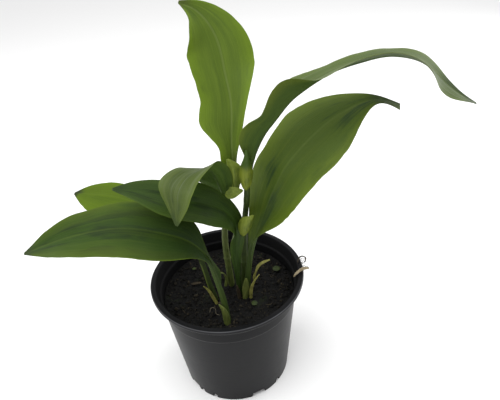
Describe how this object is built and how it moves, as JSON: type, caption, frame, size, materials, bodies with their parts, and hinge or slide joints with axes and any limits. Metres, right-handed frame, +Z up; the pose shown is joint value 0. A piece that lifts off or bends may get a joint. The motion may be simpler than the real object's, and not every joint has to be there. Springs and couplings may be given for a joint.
{
  "type": "potted cast iron plant",
  "caption": "Broad-leaved green house plant with leaves on sheathed upright stems, growing in soil in a round tapered nursery pot with notched feet.",
  "frame": {"origin": "centre of the pot's base, on the surface it stands on", "axes": "+Z up; the tall leaf's upper face looks towards -Y and the two long right-hand leaves reach towards +X"},
  "size_m": [0.3216, 0.13, 0.3193],
  "materials": {
    "pot_plastic": "satin dark grey plastic with a faint blue cast",
    "soil": "damp dark potting mix with fine fibres",
    "bright_leaf": "bright yellow-green leaf with fine streaks and a paler midrib",
    "green_leaf": "mottled green leaf, satin",
    "dark_leaf_skin": "dark glossy green leaf with a paler underside",
    "pale_sheath": "pale yellow-green sheath",
    "dry_scale": "straw-coloured dry scale",
    "brown_sheath": "brown papery old sheath",
    "green_stem": "green stem, satin",
    "pale_stem_skin": "pale green stem, satin",
    "root": "cream root",
    "soil_greens": "small green leaflets on the soil"
  },
  "bodies": {
    "root": {"arching_leaf": "dark_leaf_skin", "back_leaf": "bright_leaf", "back_leaf_scale": "dry_scale", "broad_leaf": "green_leaf", "clasping_bract": "pale_sheath", "curled_bract": "green_leaf", "dark_leaf": "dark_leaf_skin", "drooping_leaf": "green_leaf", "dry_bit": "brown_sheath", "low_leaf": "dark_leaf_skin", "low_leaf_sheath": "pale_sheath", "lower_bud": "pale_sheath", "lower_scale": "dry_scale", "main_stem": "green_stem", "moss_bit": "soil_greens", "nursery_pot": "pot_plastic", "old_sheath": "brown_sheath", "pale_stem": "pale_stem_skin", "pale_stem_scale": "pale_sheath", "potting_soil": "soil", "rim_root": "root", "root_curl": "brown_sheath", "root_hair": "root", "round_leaflet": "soil_greens", "small_leaflet": "soil_greens", "stem_sheath": "pale_sheath", "tall_leaf": "bright_leaf", "upper_bud": "pale_sheath", "upper_scale": "dry_scale"}
  },
  "joints": []
}
